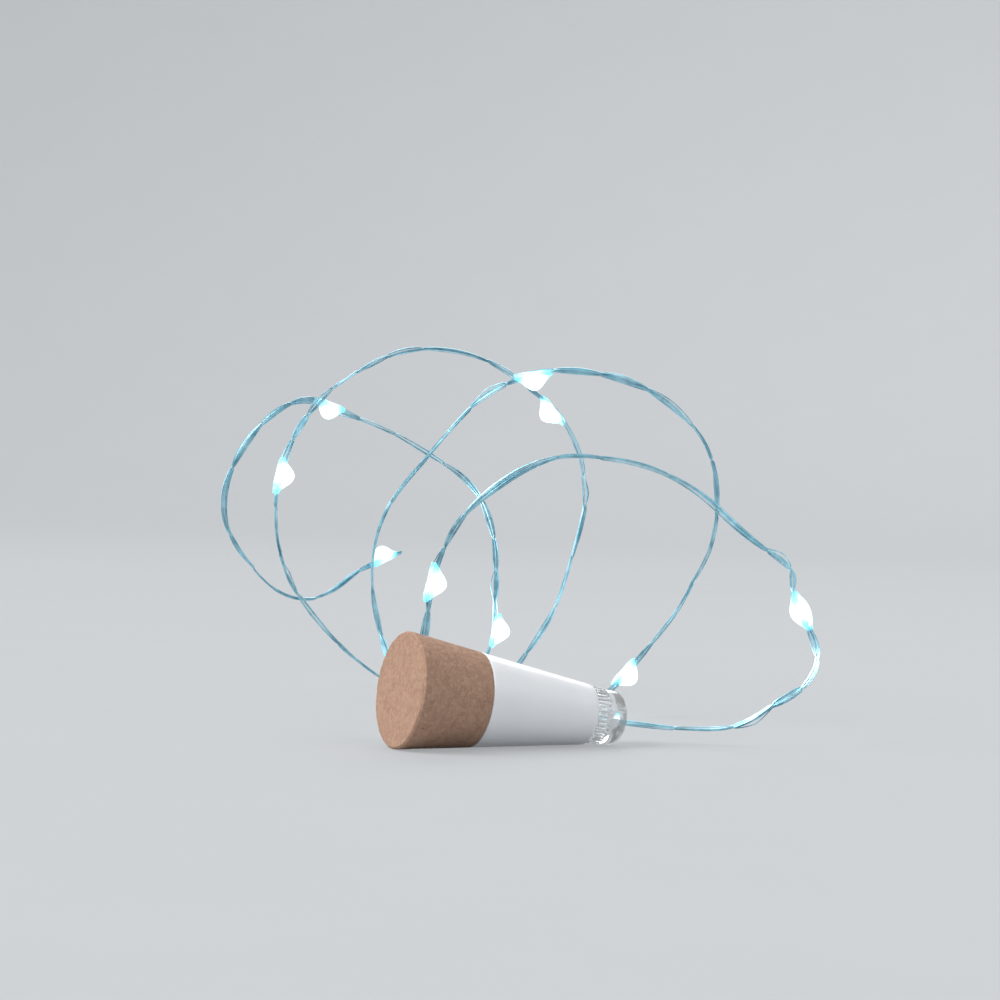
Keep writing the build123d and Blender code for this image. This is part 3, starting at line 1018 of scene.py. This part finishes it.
# The clear resin's base colour is painted light of its lit chip: cyan, and paler where the glow is
# strongest near the chip.
resin_cyan_painted_far_glow = (0.5, 0.85, 0.9)
resin_pale_painted_near_glow = (0.9, 1, 1)
chip_cyan = (0.7, 1, 1)
chip_white = (1, 1, 1)
drop_finish, drop_shader, drop_point = new_finish(
    "lit_resin", Roughness=0.25, IOR=1.5, Transmission_Weight=0.6, Emission_Strength=1.0
)
drop_glow = drop_point.node("ShaderNodeAttribute", {"attribute_name": "glow"}, {}, "Fac")
drop_point.feed(drop_shader.inputs["Emission Color"], colours(drop_glow, *glow_stops))
drop_painted_glow_tint = colours(drop_glow, (0, resin_cyan_painted_far_glow), (1, resin_pale_painted_near_glow))
drop_point.feed(drop_shader.inputs["Base Color"], drop_painted_glow_tint)
chip_finish, chip_shader, chip_point = new_finish(
    "lamp_chip_finish", Roughness=0.4, Emission_Strength=9
)
chip_light = colours(speckle(chip_point, chip_edge), (0.3, chip_cyan), (0.7, chip_white))
chip_point.feed(chip_shader.inputs["Emission Color"], chip_light)

for count, (share, side) in enumerate(zip(light_shares, light_sides), start=1):
    number = "%02d" % count
    place = light_place(share, side)
    drop = resin_drop()
    glows = []
    for vertex in drop.verts:
        away = (vertex.co - Vector((drop_offset, 0, 0))).length
        glows.append(min(1, max(0, (glow_reach - away) / (glow_reach - drop_radius))))
    drop_mesh = meshed(drop, place)
    glow = drop_mesh.attributes.new("glow", "FLOAT", "POINT")
    glow.data.foreach_set("value", glows)
    for name, mesh, finish, slot, node in (
        ("resin_drop_", drop_mesh, drop_finish, "bead_resin", "led_bead_"),
        ("lamp_chip_", meshed(lamp_chip(), place), chip_finish, "led_white", "led_chip_"),
    ):
        shown(name + number, mesh, finish, "housing", [node + number])


# The camera looks at the stopper from its cork end, close to the table, as in the photograph.
# Its place and its lens were fitted to the stopper's outline there.
camera_place = (-0.21155, -0.44624, 0.05403)
camera_heading = math.radians(25.0375)
camera_tilt = math.radians(-0.9109)
camera_roll = math.radians(1.7566)
camera_lens = 95.04
camera_sensor = 36
camera_near = 0.01
camera_data = bpy.data.cameras.new("camera")
camera_data.lens = camera_lens
camera_data.sensor_width = camera_sensor
camera_data.clip_start = camera_near
camera = bpy.data.objects.new("camera", camera_data)
bpy.context.scene.collection.objects.link(camera)
camera.matrix_world = (
    Matrix.Translation(camera_place)
    @ Matrix.Rotation(-camera_heading, 4, "Z")
    @ Matrix.Rotation(math.pi / 2 + camera_tilt, 4, "X")
    @ Matrix.Rotation(camera_roll, 4, "Z")
)
bpy.context.scene.camera = camera


# A plain pale table that curves up into a backdrop all round. Seen straight, mirrored or
# through a clear piece, part of its light is its own, and the rest shows the shadows.
floor_radius = 1.2
curve_radius = 0.7
wall_height = 0.8
wall_steps = 16
floor_sides = 96
floor_grain_size = 0.05
floor_shade_share = 0.97
floor_colour = (0.48, 0.494, 0.508)
floor_glow_colour = (0.59, 0.608, 0.626, 1)
floor_glow_share = 0.55
wall_corners = [(0, 0), (floor_radius, 0)]
for step in range(1, wall_steps + 1):
    turn = step / wall_steps * math.pi / 2
    wall_corners.append(
        (floor_radius + curve_radius * math.sin(turn), curve_radius * (1 - math.cos(turn)))
    )
wall_corners.append((floor_radius + curve_radius, wall_height))
floor_finish, floor_shader, floor_place = new_finish("table", Roughness=0.9, Specular_IOR_Level=0.1)
floor_grain = speckle(floor_place, floor_grain_size)
floor_shade = tuple(floor_shade_share * tone for tone in floor_colour)
floor_tint = colours(floor_grain, (0.2, floor_shade), (0.8, floor_colour))
floor_place.feed(floor_shader.inputs["Base Color"], floor_tint)
floor_glow = floor_place.node("ShaderNodeEmission", {}, {"Color": floor_glow_colour, "Strength": 1.0})
seen = floor_place.node("ShaderNodeLightPath", {}, {}, "Is Camera Ray")
mirrored = Mark(seen.tree, seen.socket.node.outputs["Is Glossy Ray"])
looked_through = Mark(seen.tree, seen.socket.node.outputs["Is Transmission Ray"])
shown_share = floor_glow_share * seen.maths("MINIMUM", seen + mirrored + looked_through, 1)
floor_plain = Mark(seen.tree, floor_shader.outputs[0])
floor_both = seen.node("ShaderNodeMixShader", {}, {0: shown_share, 1: floor_plain, 2: floor_glow})
floor_place.feed(floor_finish.node_tree.nodes["Material Output"].inputs["Surface"], floor_both)
floor_mesh = meshed(turned(wall_corners, floor_sides), Matrix.Identity(4))
floor_mesh.flip_normals()
floor_mesh.shade_smooth()
floor_mesh.materials.append(floor_finish)
table = bpy.data.objects.new("table", floor_mesh)
bpy.context.scene.collection.objects.link(table)


# Soft studio light from three broad, far lamps: one on the left that shows the cork's end,
# one behind on the right that runs along the upper edges, and a weak one in front.
lamp_spread = math.radians(38)
key_place = (-1.05, 0.1, 0.85)
rim_place = (0.45, 1.0, 0.8)
fill_place = (0.6, -0.8, 0.9)
sky_colour = (0.93, 0.96, 1, 1)
sky_strength = 0.45


def lamp(name, place, strength):
    """A broad lamp, far off in the direction of a place, that shines at the stopper."""
    light = bpy.data.lights.new(name, "SUN")
    light.angle = lamp_spread
    light.energy = strength
    holder = bpy.data.objects.new(name, light)
    bpy.context.scene.collection.objects.link(holder)
    holder.location = place
    holder.rotation_euler = (-Vector(place)).to_track_quat("-Z", "Y").to_euler()


lamp("key", key_place, strength=3.2)
lamp("rim", rim_place, strength=1.3)
lamp("fill", fill_place, strength=0.6)
world = bpy.data.worlds.new("studio")
bpy.context.scene.world = world
world.use_nodes = True
sky = world.node_tree.nodes["Background"]
sky.inputs["Color"].default_value = sky_colour
sky.inputs["Strength"].default_value = sky_strength

bpy.context.scene.view_settings.view_transform = "Standard"
